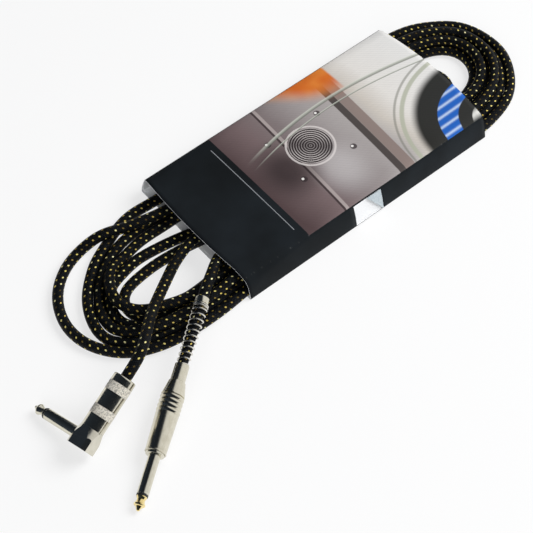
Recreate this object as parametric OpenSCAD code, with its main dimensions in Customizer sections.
// Braided instrument lead with a straight plug, a right-angle plug and a printed card sleeve.
// Millimetres, +Z up. The origin is the middle of the sleeve's underside, +X runs along the hank
// away from the plugs. Each plug is drawn along its own axis and then laid where it rests.

/* [Cable] */
// Diameter of the braided cable
cable_d = 6.2; // [5.6:0.1:6.6]
// Diameter of the cable where the straight plug and its spring squeeze it
squeezed_d = 5.4; // [5:0.1:5.6]
// Diameter of the centre conductor with its insulation
core_d = 2.2; // [1.6:0.1:2.6]
// Diameter of the bare centre conductor
wire_d = 0.9; // [0.6:0.1:1.2]

/* [Shaft of both plugs] */
// Diameter of the ground shaft
shaft_d = 6.35; // [6.2:0.05:6.5]
// Length from the tip's end to the shaft's shoulder
shaft_len = 30.5; // [26:0.5:36]
// Greatest diameter of the tip
tip_d = 6; // [5.7:0.05:6]
// Diameter of the tip's waist
waist_d = 4.2; // [3.6:0.1:4.8]
// Length of the tip in front of the insulating ring
tip_len = 7.9; // [7:0.1:8.5]
// Thickness of the insulating ring behind the tip
ring_len = 1; // [0.6:0.1:1.4]
// Diameter of the rod that runs from the tip through the shaft
rod_d = 2.4; // [1.8:0.1:2.6]
// Wall of the plastic tube round the rod
insulator_wall = 0.9; // [0.5:0.1:1]
// Diameter of the rod's riveted head
rivet_d = 3.4; // [2.8:0.1:3.8]
// Length of the rod's riveted head
rivet_len = 0.7; // [0.5:0.1:1]
// Thickness of the solder lugs' sheet metal
lug_t = 0.6; // [0.4:0.1:0.7]
// Thickness of the insulating washers
washer_t = 0.7; // [0.4:0.1:1]
// Size of the small chamfers on the turned edges
edge_cut = 0.3; // [0.2:0.05:0.4]

/* [Straight plug] */
// Length of the handle from its mouth to the end of its neck
handle_len = 50.5; // [46:0.5:62]
// Diameter of the rim round the handle's mouth
rim_d = 11.4; // [11.2:0.1:12]
// Length of the rim
rim_len = 0.8; // [0.5:0.1:1.2]
// Diameter of the smooth part next to the rim
grip_front_d = 11.2; // [11:0.1:11.6]
// Diameter of the smooth part next to the beads
grip_rear_d = 12.6; // [12:0.1:13.4]
// Number of rounded beads
bead_count = 4; // [2:1:6]
// Length of one bead
bead_pitch = 2.55; // [2:0.05:3]
// Height of a bead above the groove beside it
bead_height = 0.5; // [0.2:0.05:0.7]
// Length of the cone behind the beads
cone_len = 8.4; // [6:0.2:10]
// Diameter of the cone's small end
cone_end_d = 9.3; // [8.8:0.1:10]
// Length of the neck
neck_len = 9.8; // [8:0.2:12]
// Diameter of the neck next to the cone
neck_d = 8.2; // [8:0.1:8.6]
// Diameter of the neck's end
neck_end_d = 7.9; // [7.8:0.1:8.2]
// Diameter of the collar in front of the thread
collar_d = 10; // [9.6:0.1:10.2]
// Length of the collar
collar_len = 2; // [1.6:0.1:3]
// Length of the collar that shows in front of the mouth
collar_shown = 1.3; // [0.6:0.1:1.5]
// Outside diameter of the thread that the handle screws onto
thread_d = 9; // [8.6:0.1:9.4]
// Length of that thread
thread_len = 4.5; // [4:0.5:8]
// Inside diameter of the handle behind the thread
chamber_d = 10.1; // [9.8:0.1:10.2]
// Wall of the insulating liners of both plugs
liner_wall = 0.5; // [0.3:0.1:0.7]

/* [Spring strain relief] */
// Diameter of the spring's wire
spring_wire = 0.85; // [0.6:0.05:1]
// Outside diameter of the spring where it leaves the neck
spring_front_od = 7.2; // [7.1:0.05:7.4]
// Outside diameter of the spring at the ferrule
spring_rear_od = 8.9; // [8.6:0.1:9.2]
// Length of the spring between the neck and the ferrule
spring_len = 36.4; // [28:0.4:44]
// Number of open turns
open_turns = 10.5; // [6:0.5:12]
// Number of closed turns at the ferrule
rear_turns = 2; // [1:0.5:3]
// Number of turns held inside the neck
held_turns = 1.5; // [1:0.5:2]
// Pitch of the closed turns
closed_pitch = 1; // [0.9:0.05:1.4]
// Diameter of the end ferrule
ferrule_d = 7.6; // [7.4:0.1:8]
// Length of the end ferrule
ferrule_len = 4.2; // [3:0.2:6]

/* [Right-angle plug] */
// Width of the cast corner block
block_w = 12.8; // [12.4:0.1:14]
// Size of the chamfer along the block's upright edges
block_chamfer = 2; // [1:0.1:3]
// Depth of the block below the shaft's axis
block_low = 6; // [5:0.1:7]
// Height of the block above the shaft's axis
block_high = 5.5; // [5:0.1:7]
// Thickness of the block's floor
block_floor = 1.4; // [1:0.1:2]
// Diameter of the cavity in the block
cavity_d = 9; // [8.8:0.1:9.2]
// Outside diameter of the block's threaded spigot
spigot_d = 10.6; // [10.4:0.1:10.8]
// Length of the spigot
spigot_len = 4.5; // [4:0.5:7]
// Diameter of the barrel
barrel_d = 12.9; // [12.7:0.1:13.4]
// Length of the barrel
barrel_len = 31; // [30:0.5:38]
// Inside diameter of the barrel behind its thread
barrel_chamber_d = 11.2; // [11:0.1:11.4]
// Thickness of the barrel's end wall
barrel_end = 2.2; // [1.6:0.1:3]
// Radius of the barrel's rounded end edge
barrel_round = 1.2; // [0.6:0.1:1.5]
// Length of each knurled band
knurl_len = 5.2; // [4:0.2:6]
// Depth of the groove beside each knurled band
knurl_groove = 0.2; // [0.1:0.05:0.3]
// Distance from the barrel's end to the first knurled band
knurl_from_end = 4.4; // [3:0.2:6]
// Length of the smooth part between the knurled bands
knurl_gap = 9.1; // [7:0.2:11]

/* [Card sleeve] */
// Length of the sleeve along the hank
sleeve_len = 177.6; // [145:1:215]
// Width of the sleeve's top panel
sleeve_top_w = 89.1; // [87:0.5:92]
// Width of the sleeve's bottom panel
sleeve_base_w = 98; // [97:0.5:102]
// Height of the sleeve
sleeve_h = 15.6; // [15.6:0.2:20]
// Thickness of the card
card_t = 0.5; // [0.3:0.1:0.6]
// Radius of the card's folds
fold_r = 2.5; // [1:0.25:4]
// Length of the notch in the front side panel
notch_len = 20.2; // [10:1:40]
// Place of the middle of the notch along the sleeve
notch_x = -1.4; // [-40:1:40]

/* [Hank] */
// Height of the hank's underside
hank_low = 0.8; // [0.8:0.1:1]
// Height of the lower layer of turns
layer_h = 6; // [5.6:0.1:6.4]
// Height of the upper layer of turns above the lower one
upper_h = 6.1; // [5:0.1:7]

/* [Hidden] */

// Clearances
touch_gap = 0.05;     // radial, between pieces that fit into each other
turn_gap = 0.1;       // radial, between the cable and what turns round it
cable_gap = 0.15;     // radial, round the cable in the plugs' bores
eps = 0.01;           // how far a cutting solid stands past a face

// The sleeve's two ends, and where the plugs lie in front of the near one: the tip's end of the
// straight plug, and the crossing of the right-angle plug's two axes. A tilt lifts the cable end.
near_x = -sleeve_len / 2;
far_x = sleeve_len / 2;
straight_at = [near_x - 125.5, -111.3, 2.7];
straight_tilt = 7;
straight_heading = 35.5;
angled_at = [near_x - 122.4, -65.2, 10];
angled_tilt = 20;
angled_heading = 15.4;
angled_roll = -11;

// Places along each plug's shaft, counted from the tip's end
ring_end = tip_len + ring_len;
bore_d = rod_d + 2 * insulator_wall + 2 * touch_gap;

// Places along the straight plug, counted from the tip's end
collar_end = shaft_len + collar_len;
thread_end = collar_end + thread_len;
handle_start = shaft_len + collar_shown;
handle_end = handle_start + handle_len;
neck_start = handle_end - neck_len;
cone_start = neck_start - cone_len;
beads_start = cone_start - bead_count * bead_pitch;
chamber_start = thread_end + 0.5;
chamber_end = cone_start - 1;
bore_start = neck_start - 1.5;
lug_end = thread_end + lug_t;
washer_end = lug_end + washer_t;
rod_end = washer_end + lug_t;
tip_lug_len = 7;
core_start = rod_end + tip_lug_len + 1;
jacket_start = core_start + 8;
clamp_len = 5;
clamp_start = jacket_start + 0.5;
held_len = held_turns * closed_pitch;
rear_len = rear_turns * closed_pitch;
open_pitch = (spring_len - rear_len) / open_turns;
ferrule_start = handle_end + spring_len;
ferrule_end = ferrule_start + ferrule_len;
unscrew_len = thread_len;
lead_free = ferrule_end + unscrew_len + 1;

// Places in the right-angle plug, along its barrel from the crossing of the axes
spigot_end = block_high + spigot_len;
barrel_start = block_high + touch_gap;
barrel_top = barrel_start + barrel_len;
angled_jacket = spigot_end + 11.5;
angled_clamp = angled_jacket + 0.5;
angled_free = barrel_top + spigot_len + 1;
wall_y = block_w / 2;                  // the block's face that the shaft leaves
root_len = wall_y - cavity_d / 2;      // length of the shaft's root inside the block's wall
root_d = shaft_d - 1;                  // the root is thinner, so the shaft's shoulder meets the block

// Sides of the curved and swept forms
arc_steps = 6;
wire_sides = 8;
turn_steps = 24;
tube_sides = 10;
curve_steps = 3;

function unit(v) = v / norm(v);
function mix(a, b, t) = a + (b - a) * t;

// ---- Shared pieces of both plugs, drawn along +Z from the tip's end ----

// A ring or tube between two heights
module tube(d, hole_d, low, high) {
    translate([0, 0, low]) difference() {
        cylinder(d = d, h = high - low, $fn = 96);
        translate([0, 0, -eps]) cylinder(d = hole_d, h = high - low + 2 * eps, $fn = 96);
    }
}

// The turned tip with its rod and riveted head
module tip_contact(rod_to) {
    nose = 1.1;
    bulb = tip_len * 0.42;
    waist = tip_len * 0.78;
    rotate_extrude($fn = 96) polygon(concat(
        [for (i = [0:arc_steps]) [nose * sin(90 * i / arc_steps), nose * (1 - cos(90 * i / arc_steps))]],
        [for (i = [0:arc_steps]) let (a = 90 * i / arc_steps)
            [mix(nose + 0.9, tip_d / 2, sin(a)), mix(bulb - 0.8, bulb, 1 - cos(a))]],
        [[tip_d / 2, bulb + 0.4]],
        [for (i = [0:arc_steps]) let (a = 90 * i / arc_steps)
            [mix(waist_d / 2, tip_d / 2 - 0.3, 1 - sin(a)), mix(bulb + 0.7, waist, sin(a / 2) / sin(45))]],
        [[waist_d / 2 + 0.7, tip_len - 0.6], [waist_d / 2 + 0.7, tip_len], [rod_d / 2, tip_len],
         [rod_d / 2, rod_to], [rivet_d / 2, rod_to], [rivet_d / 2 - 0.3, rod_to + rivet_len],
         [0, rod_to + rivet_len]]));
}

module tip_ring() {
    tube(tip_d, rod_d + 2 * touch_gap, tip_len, ring_end);
}

module rod_insulator(to) {
    tube(rod_d + 2 * insulator_wall, rod_d + 2 * touch_gap, ring_end, to);
}

// A strip with an open cable clamp bent round the cable: the strip lies on +X
module cable_clamp(cable, from, to, opening) {
    inner = cable / 2 + touch_gap;
    translate([0, 0, from]) difference() {
        cylinder(r = inner + lug_t, h = to - from, $fn = 96);
        translate([0, 0, -eps]) cylinder(r = inner, h = to - from + 2 * eps, $fn = 96);
        translate([-inner - 2 * lug_t, -opening / 2, -eps])
            cube([inner + lug_t, opening, to - from + 2 * eps]);
    }
}

// A strip of lug metal that starts at a distance from the axis
module lug_strip(offset_x, width, from, to) {
    translate([offset_x, -width / 2, from]) cube([lug_t, width, to - from]);
}

// The centre conductor: insulated length, bare end bent aside, and solder on the lug's face
module core_wire(face_x, bare_from, insulated_from, to) {
    end_x = face_x - sign(face_x) * wire_d / 2;
    reach = insulated_from - bare_from;
    lean = atan2(end_x, -reach);
    translate([0, 0, insulated_from]) cylinder(d = core_d, h = to - insulated_from, $fn = 48);
    translate([0, 0, insulated_from]) rotate([0, lean, 0])
        translate([0, 0, -0.1]) cylinder(d = wire_d, h = norm([end_x, reach]) + 0.1, $fn = 32);
    intersection() {
        translate([end_x, 0, bare_from]) sphere(r = wire_d, $fn = 32);
        translate([face_x > 0 ? face_x - 3 : face_x, -1.5, bare_from - 1.5]) cube([3, 3, 3]);
    }
}

// ---- Straight plug ----

module place_straight() {
    translate(straight_at) rotate([0, 90 - straight_tilt, straight_heading]) children();
}

module straight_tip_contact() {
    color("gold") place_straight() tip_contact(rod_end);
}

module straight_tip_ring() {
    color([0.08, 0.08, 0.08]) place_straight() tip_ring();
}

module straight_ground_shaft() {
    color("silver") place_straight() rotate_extrude($fn = 96) polygon([
        [bore_d / 2, ring_end], [shaft_d / 2 - edge_cut, ring_end],
        [shaft_d / 2, ring_end + edge_cut], [shaft_d / 2, shaft_len],
        [collar_d / 2 - edge_cut, shaft_len], [collar_d / 2, shaft_len + edge_cut],
        [collar_d / 2, collar_end], [thread_d / 2, collar_end], [thread_d / 2, thread_end - edge_cut],
        [thread_d / 2 - edge_cut, thread_end], [bore_d / 2, thread_end]]);
}

module straight_rod_insulator() {
    color("ivory") place_straight() rod_insulator(thread_end);
}

module straight_rear_washer() {
    color([0.25, 0.12, 0.05]) place_straight()
        tube(squeezed_d - 0.1, rod_d + 2 * touch_gap, lug_end, washer_end);
}

module straight_tip_lug() {
    ring_r = squeezed_d / 2 - 0.4;
    color("gainsboro") place_straight() {
        tube(2 * ring_r, rod_d + 2 * touch_gap, washer_end, rod_end);
        lug_strip(-ring_r, 2.6, washer_end, rod_end + tip_lug_len);
    }
}

module straight_ground_lug() {
    color("gainsboro") place_straight() {
        tube(thread_d - 0.6, bore_d, thread_end, lug_end);
        lug_strip(squeezed_d / 2 + touch_gap, 4, thread_end, clamp_start + clamp_len);
        cable_clamp(squeezed_d, clamp_start, clamp_start + clamp_len, 1.6);
    }
}

module straight_core_wire() {
    color("white") place_straight()
        core_wire(-(squeezed_d / 2 - 0.4 - lug_t), rod_end + tip_lug_len - 2, core_start, jacket_start);
}

// Outer outline of the handle, from its mouth to the end of its neck
function handle_outline() = concat(
    [[rim_d / 2 - 0.25, handle_start], [rim_d / 2, handle_start + 0.25],
     [rim_d / 2, handle_start + rim_len - 0.2], [grip_front_d / 2, handle_start + rim_len]],
    [[grip_rear_d / 2 - 0.2, beads_start - 0.3], [grip_rear_d / 2 - bead_height + 0.1, beads_start]],
    [for (bead = [0:bead_count - 1]) for (i = [1:arc_steps]) let (u = i / arc_steps)
        [grip_rear_d / 2 + 0.1 - bead_height * (1 - sin(180 * u)), beads_start + bead_pitch * (bead + u)]],
    [[grip_rear_d / 2, cone_start + 0.4], [cone_end_d / 2 + 0.15, neck_start - 0.8],
     [cone_end_d / 2, neck_start - 0.3], [cone_end_d / 2 - 0.2, neck_start - 0.05],
     [neck_d / 2, neck_start], [neck_end_d / 2, handle_end - 0.2], [neck_end_d / 2 - 0.15, handle_end]]);

// Inner outline of the handle, from the end of its neck back to its mouth
function handle_bores() = [
    [spring_front_od / 2 + touch_gap, handle_end],
    [spring_front_od / 2 + touch_gap, handle_end - held_len - 0.6],
    [squeezed_d / 2 + cable_gap, handle_end - held_len - 0.6], [squeezed_d / 2 + cable_gap, bore_start],
    [chamber_d / 2, chamber_end], [chamber_d / 2, chamber_start],
    [thread_d / 2 + touch_gap, chamber_start], [thread_d / 2 + touch_gap, collar_end + touch_gap],
    [collar_d / 2 + turn_gap, collar_end + touch_gap], [collar_d / 2 + turn_gap, handle_start]];

module straight_handle() {
    color("silver") place_straight() rotate_extrude($fn = 128)
        polygon(concat(handle_outline(), handle_bores()));
}

module straight_liner() {
    liner_d = chamber_d - 2 * turn_gap;
    color("white") place_straight()
        tube(liner_d, liner_d - 2 * liner_wall, chamber_start + turn_gap, chamber_end - turn_gap);
}

// Turns counted from the spring's held end: height, and radius of the wire's centre line
spring_turns = held_turns + open_turns + rear_turns;
function spring_z(turn) = handle_end - held_len
    + closed_pitch * min(turn, held_turns)
    + open_pitch * max(0, min(turn - held_turns, open_turns))
    + closed_pitch * max(0, turn - held_turns - open_turns);
function spring_r(turn) = mix(spring_front_od, spring_rear_od,
    max(0, min(1, (turn - held_turns) / open_turns))) / 2 - spring_wire / 2;
function spring_point(turn) =
    [spring_r(turn) * cos(360 * turn), spring_r(turn) * sin(360 * turn), spring_z(turn)];

// Closed surface over rings of points, each ring with the same number of sides
function skin_faces(rings, sides) = concat(
    [[for (j = [0:sides - 1]) j]],
    [for (i = [0:rings - 2]) for (j = [0:sides - 1]) let (k = (j + 1) % sides)
        [i * sides + k, i * sides + j, (i + 1) * sides + j, (i + 1) * sides + k]],
    [[for (j = [sides - 1:-1:0]) (rings - 1) * sides + j]]);

module straight_spring() {
    rings = ceil(spring_turns * turn_steps);
    points = [for (i = [0:rings]) let (
        turn = spring_turns * i / rings,
        centre = spring_point(turn),
        outward = [cos(360 * turn), sin(360 * turn), 0],
        along = unit(spring_point(turn + 0.005) - spring_point(turn - 0.005)),
        across = unit(cross(along, outward)),
        out = cross(across, along))
        for (j = [0:wire_sides - 1]) let (a = 360 * (j + 0.5) / wire_sides)
            centre + spring_wire / 2 * (cos(a) * out + sin(a) * across)];
    color("silver") place_straight() polyhedron(points, skin_faces(rings + 1, wire_sides), convexity = 10);
}

module straight_ferrule() {
    hole = cable_d + 2 * cable_gap;
    spigot = spring_rear_od - 2 * spring_wire - 2 * touch_gap;
    color("silver") place_straight() rotate_extrude($fn = 96) polygon([
        [hole / 2, ferrule_start - rear_len], [spigot / 2, ferrule_start - rear_len],
        [spigot / 2, ferrule_start + spring_wire / 2], [ferrule_d / 2, ferrule_start + spring_wire / 2],
        [ferrule_d / 2, ferrule_end - 0.4], [ferrule_d / 2 - 0.4, ferrule_end], [hole / 2, ferrule_end]]);
}

// ---- Right-angle plug: the barrel along +Z, the shaft along +Y ----

module place_angled() {
    translate(angled_at) rotate([0, 90 - angled_tilt, angled_heading])
        rotate([0, 0, angled_roll]) children();
}

module on_angled_shaft() {
    place_angled() translate([0, wall_y + shaft_len, 0]) rotate([90, 0, 0]) children();
}

insulator_to = shaft_len + root_len + 0.4;
angled_rod_end = insulator_to + washer_t + lug_t;

module angled_tip_contact() {
    color("silver") on_angled_shaft() tip_contact(angled_rod_end);
}

module angled_tip_ring() {
    color([0.08, 0.08, 0.08]) on_angled_shaft() tip_ring();
}

module angled_ground_shaft() {
    color("silver") on_angled_shaft() rotate_extrude($fn = 96) polygon([
        [bore_d / 2, ring_end], [shaft_d / 2 - edge_cut, ring_end],
        [shaft_d / 2, ring_end + edge_cut], [shaft_d / 2, shaft_len], [root_d / 2, shaft_len],
        [root_d / 2, shaft_len + root_len], [bore_d / 2, shaft_len + root_len]]);
}

module angled_rod_insulator() {
    color("ivory") on_angled_shaft() rod_insulator(insulator_to);
}

module angled_rear_washer() {
    color([0.25, 0.12, 0.05]) on_angled_shaft()
        tube(bore_d + 0.4, rod_d + 2 * touch_gap, insulator_to, insulator_to + washer_t);
}

// The lug's ring sits under the rod's head and its strip runs up into the barrel
module angled_tip_lug() {
    color("gainsboro") {
        on_angled_shaft() tube(bore_d - 0.2, rod_d + 2 * touch_gap, angled_rod_end - lug_t, angled_rod_end);
        place_angled() translate([0, wall_y + shaft_len - angled_rod_end, 0]) difference() {
            translate([-1.3, 0, 0]) cube([2.6, lug_t, spigot_end + 5]);
            translate([0, -eps, 0]) rotate([-90, 0, 0])
                cylinder(d = rod_d + 2 * touch_gap, h = lug_t + 2 * eps, $fn = 48);
        }
    }
}

module angled_ground_lug() {
    inner = cable_d / 2 + touch_gap;
    floor_z = block_floor - block_low;
    color("gainsboro") place_angled() rotate([0, 0, -90]) {
        lug_strip(inner, 3.4, floor_z, angled_clamp + clamp_len);
        cable_clamp(cable_d, angled_clamp, angled_clamp + clamp_len, 1.8);
        translate([0, -1.7, floor_z]) cube([inner + lug_t, 3.4, lug_t]);
    }
}

module angled_core_wire() {
    face = wall_y + shaft_len - angled_rod_end;
    color("white") place_angled() rotate([0, 0, 90])
        core_wire(face, spigot_end + 3, spigot_end + 6.5, angled_jacket);
}

module angled_block() {
    half = block_w / 2;
    cut = block_chamfer;
    color("silver") place_angled() difference() {
        union() {
            intersection() {
                translate([0, 0, -block_low]) linear_extrude(block_low + block_high) polygon([
                    [half, half - cut], [half - cut, half], [cut - half, half], [-half, half - cut],
                    [-half, cut - half], [cut - half, -half], [half - cut, -half], [half, cut - half]]);
                rotate_extrude($fn = 128) polygon([[0, -block_low], [half + 1.6, -block_low],
                    [half + 1.6, -1], [barrel_d / 2 + 0.05, block_high], [0, block_high]]);
            }
            cylinder(d = spigot_d, h = spigot_end, $fn = 96);
        }
        translate([0, 0, block_floor - block_low])
            cylinder(d = cavity_d, h = block_low + spigot_end, $fn = 96);
        rotate([-90, 0, 0]) cylinder(d = root_d + 2 * touch_gap, h = block_w, $fn = 96);
    }
}

// Outline of the barrel: its thread end, two knurled bands between grooves, a rounded end
module angled_barrel() {
    r = barrel_d / 2;
    low = r - knurl_groove;
    groove_w = 0.3;
    upper_band = barrel_top - knurl_from_end - knurl_len;
    lower_band = upper_band - knurl_gap - knurl_len;
    edges = [lower_band, lower_band + knurl_len, upper_band, upper_band + knurl_len];
    color("silver") place_angled() rotate_extrude($fn = 128) polygon(concat(
        [[r - 0.3, barrel_start], [r, barrel_start + 0.3]],
        [for (z = edges) for (p = [[r, z - groove_w / 2], [low, z], [r, z + groove_w / 2]]) p],
        [for (i = [0:arc_steps]) let (a = 90 * i / arc_steps)
            [r - barrel_round * (1 - cos(a)), barrel_top - barrel_round * (1 - sin(a))]],
        [[cable_d / 2 + 2 * cable_gap, barrel_top], [cable_d / 2 + cable_gap, barrel_top - 0.4],
         [cable_d / 2 + cable_gap, barrel_top - barrel_end], [barrel_chamber_d / 2, barrel_top - barrel_end],
         [barrel_chamber_d / 2, spigot_end + 0.5], [spigot_d / 2 + touch_gap, spigot_end + 0.5],
         [spigot_d / 2 + touch_gap, barrel_start]]));
}

module angled_liner() {
    liner_d = barrel_chamber_d - 2 * turn_gap;
    color("white") place_angled()
        tube(liner_d, liner_d - 2 * liner_wall, spigot_end + 0.5 + turn_gap,
            barrel_top - barrel_end - turn_gap);
}

// ---- Cable ----

// Points of a plug's own axis in the part's frame
function axis_of(tilt, heading) =
    [cos(tilt) * cos(heading), cos(tilt) * sin(heading), sin(tilt)];
function on_straight(s) = straight_at + s * axis_of(straight_tilt, straight_heading);
function on_angled(s) = angled_at + s * axis_of(angled_tilt, angled_heading);

// Each route point with the cable's diameter there. The last point lies on the hank's inner wall.
mouth_x = near_x + 2.8;
function near(points) = [for (p = points) [for (i = [0:len(p) - 1]) i == 0 ? p[0] + near_x : p[i]]];
function far(points) = [for (p = points) [p[0] + far_x, p[1]]];
straight_route = concat(
    [[on_straight(jacket_start), squeezed_d], [on_straight(handle_end + unscrew_len), squeezed_d],
     [on_straight(handle_end + unscrew_len + 20), cable_d], [on_straight(lead_free), cable_d]],
    [for (p = near([[-17.2, -34.2, 18.5], [-12.2, -30.6, 17.4], [-7.7, -27, 15.4],
        [-3.7, -23.9, 13], [-0.7, -21.8, 11.3], [2.8, -20, 9.8]])) [p, cable_d]]);
angled_route = concat(
    [[on_angled(angled_jacket), cable_d], [on_angled(angled_free), cable_d]],
    [for (p = near([[-77.7, -52.2, 26.2], [-71.2, -48, 27], [-64.7, -42.4, 26.3],
        [-58.7, -36.8, 24.4], [-52.7, -31.6, 21.8], [-46.2, -26.6, 19.2], [-39.2, -21.6, 16.9],
        [-31.2, -16.2, 14.9], [-22.2, -10.6, 13.4], [-12.7, -6.2, 12.3], [-4.7, -3.6, 11.3],
        [2.8, -2.4, 9.8]])) [p, cable_d]]);

// Direction of a route at point i: square to the hank's wall at its last point
function route_along(route, i) = i == len(route) - 1 ? [1, 0, 0]
    : i == 0 ? unit(route[1][0] - route[0][0])
    : unit(unit(route[i + 1][0] - route[i][0]) + unit(route[i][0] - route[i - 1][0]));

module lead(route) {
    points = [for (i = [0:len(route) - 1]) let (
        along = route_along(route, i),
        side = unit(cross([0, 0, 1], along)),
        up = cross(along, side))
        for (j = [0:tube_sides - 1]) let (a = 360 * j / tube_sides)
            route[i][0] + route[i][1] / 2 * (cos(a) * up - sin(a) * side)];
    color([0.1, 0.1, 0.1]) polyhedron(points, skin_faces(len(route), tube_sides), convexity = 6);
}

module straight_lead() {
    lead(straight_route);
}

module angled_lead() {
    lead(angled_route);
}

// A closed curve through points, with a few steps between each two. A side longer than this is
// straight, and the curves that meet it end along their own line.
straight_side = 100;
function before(p, q, r) = norm(q - p) > straight_side ? 2 * q - r : p;
function curve(points) = [for (i = [0:len(points) - 1]) let (
    n = len(points),
    b = points[i], c = points[(i + 1) % n],
    a = before(points[(i + n - 1) % n], b, c),
    d = before(points[(i + 2) % n], c, b),
    steps = norm(c - b) > straight_side ? 1 : curve_steps)
    for (k = [0:steps - 1]) let (t = k / steps)
        b + t / 2 * (c - a) + t * t * (a - 2.5 * b + 2 * c - d / 2)
        + t * t * t * (1.5 * b - a / 2 - 1.5 * c + d / 2)];

// Outlines of the hank seen from above, each point counted from the sleeve's end beside it: the
// outer edges of both layers, the holes in the loops, and the gap inside the outermost near turn
lower_edge = concat(
    near([[2.8, 40.5], [-7.2, 41.6], [-17.8, 42], [-27.2, 40.4], [-36, 39.6], [-45.6, 38.9],
        [-54.9, 37.9], [-63, 35.2], [-70.2, 31.9], [-76.6, 27.2], [-82.3, 21.2], [-86.5, 14.1],
        [-89.9, 6.4], [-91, -0.9], [-91, -8.2], [-89.7, -15.2], [-87, -21.9], [-82.1, -28.9],
        [-76.8, -33.5], [-71.3, -37.3], [-65.1, -41.7], [-54.4, -46.4], [-42, -48.3],
        [-29.5, -48.8], [-10, -47.6], [-1, -46.2], [2.8, -46.2]]),
    far([[0, -46.2], [23, -43.5], [39, -33], [50, -10], [51, 9], [42, 28], [28, 37], [0, 43.5]]));
upper_edge = concat(
    near([[2.8, 34], [-8, 33], [-22, 36], [-32, 36], [-42, 30.5], [-50, 25.5], [-57, 20.5],
        [-64, 14.5], [-69, 8], [-72.5, 0.5], [-74.5, -8], [-75, -16], [-72, -25], [-65, -33],
        [-56, -37.5], [-45, -39.5], [-30, -37.5], [-18, -38], [-8, -41], [-1, -43], [2.8, -43]]),
    far([[0, -43], [21, -40], [35, -31], [46, -9], [47, 8], [38, 26], [25, 34], [0, 41]]));
near_hole = near([[2.8, -25], [-9, -30], [-28, -30], [-43, -22], [-53, -8], [-46, 4], [-31, 9],
    [2.8, 10]]);
outer_gap = near([[-44.4, 32], [-52.9, 31.4], [-61, 28.7], [-67.8, 25.1], [-73.5, 20.6],
    [-77.7, 16.5], [-81.2, 11], [-83.9, 4.3], [-85.2, -2], [-85.3, -8.5], [-83.8, -13.8],
    [-81.2, -18.5], [-78, -22], [-78.7, -15.6], [-78.3, -8.6], [-76.7, -1.6], [-73.7, 4.9],
    [-70, 10.9], [-64.7, 17.2], [-57.9, 23.1], [-51, 27.5]]);
far_hole = far([[5, 15], [21, 10], [26, -1], [23, -10], [16, -15], [5, -17]]);

// One layer of turns between two heights
module turns(edge, low, high) {
    translate([0, 0, low]) linear_extrude(high - low) difference() {
        polygon(curve(edge));
        polygon(near_hole);
        polygon(curve(far_hole));
        children();
    }
}

module hank() {
    color([0.12, 0.12, 0.12]) union() {
        turns(lower_edge, hank_low, hank_low + layer_h) polygon(outer_gap);
        turns(upper_edge, hank_low + layer_h, hank_low + layer_h + upper_h);
    }
}

// ---- Card sleeve ----

// Outline with rounded corners: each corner becomes an arc of radius r
function rounded(corners, r) = [for (i = [0:len(corners) - 1]) let (
    p = corners[i],
    a = unit(corners[(i + len(corners) - 1) % len(corners)] - p),
    b = unit(corners[(i + 1) % len(corners)] - p),
    half = acos(a * b) / 2,
    centre = p + unit(a + b) * r / sin(half),
    from = p + a * r / tan(half) - centre,
    to = p + b * r / tan(half) - centre)
    for (k = [0:arc_steps]) centre + r * unit(mix(from, to, k / arc_steps))];

function sleeve_section(inset) = let (
    base = sleeve_base_w / 2 - inset * 1.1,
    top = sleeve_top_w / 2 - inset * 0.95)
    [[-base, inset], [base, inset], [top, sleeve_h - inset], [-top, sleeve_h - inset]];

module card_sleeve() {
    color([0.35, 0.3, 0.32]) difference() {
        rotate([90, 0, 90]) translate([0, 0, -sleeve_len / 2]) linear_extrude(sleeve_len) difference() {
            polygon(rounded(sleeve_section(0), fold_r));
            polygon(rounded(sleeve_section(card_t), fold_r - card_t));
        }
        translate([notch_x - notch_len / 2, -sleeve_base_w / 2 - 1, card_t])
            cube([notch_len, 1 + (sleeve_base_w - sleeve_top_w) / 2 + card_t, sleeve_h - 2 * card_t]);
    }
}

straight_tip_contact();
straight_tip_ring();
straight_ground_shaft();
straight_rod_insulator();
straight_rear_washer();
straight_tip_lug();
straight_ground_lug();
straight_core_wire();
straight_handle();
straight_liner();
straight_spring();
straight_ferrule();
angled_tip_contact();
angled_tip_ring();
angled_ground_shaft();
angled_rod_insulator();
angled_rear_washer();
angled_tip_lug();
angled_ground_lug();
angled_core_wire();
angled_block();
angled_barrel();
angled_liner();
straight_lead();
angled_lead();
hank();
card_sleeve();
